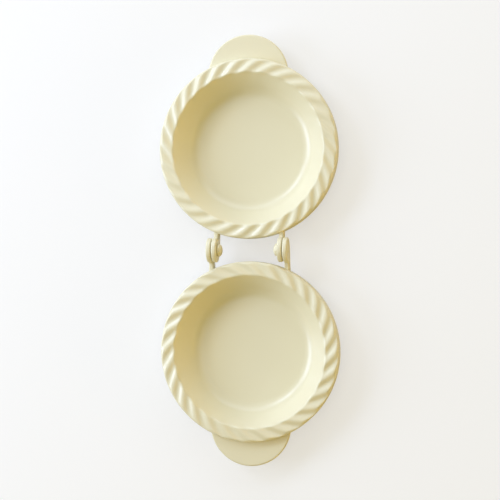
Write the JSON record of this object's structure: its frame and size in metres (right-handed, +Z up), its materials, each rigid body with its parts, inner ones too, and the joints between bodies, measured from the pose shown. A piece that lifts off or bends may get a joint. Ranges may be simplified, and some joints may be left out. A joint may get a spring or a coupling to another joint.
{
  "type": "hand pie mold",
  "caption": "Folding hand pie mold: two round plastic dishes with slanted crimp ridges on their rims, joined by a pin hinge, each with a rounded thumb tab.",
  "frame": {"origin": "on the table under the hinge axis, midway between the two pairs of arms, with the mold open flat", "axes": "+X along the hinge pins, +Y from the hinge towards the lid dish, +Z up"},
  "size_m": [0.115, 0.276, 0.0262],
  "materials": {
    "cream_plastic": "satin moulded cream plastic with a soft sheen",
    "pin_plastic": "satin moulded cream plastic, a little glossier than the dishes"
  },
  "bodies": {
    "base": {"base_half": "cream_plastic", "hinge_pin_left": "pin_plastic", "hinge_pin_right": "pin_plastic"},
    "lid": {"lid_half": "cream_plastic"}
  },
  "joints": [
    {"name": "lid_hinge", "type": "hinge", "parent": "base", "child": "lid", "pos_m": [0, 0, 0.01845], "axis": [1, 0, 0], "range_deg": [0, 180]}
  ]
}
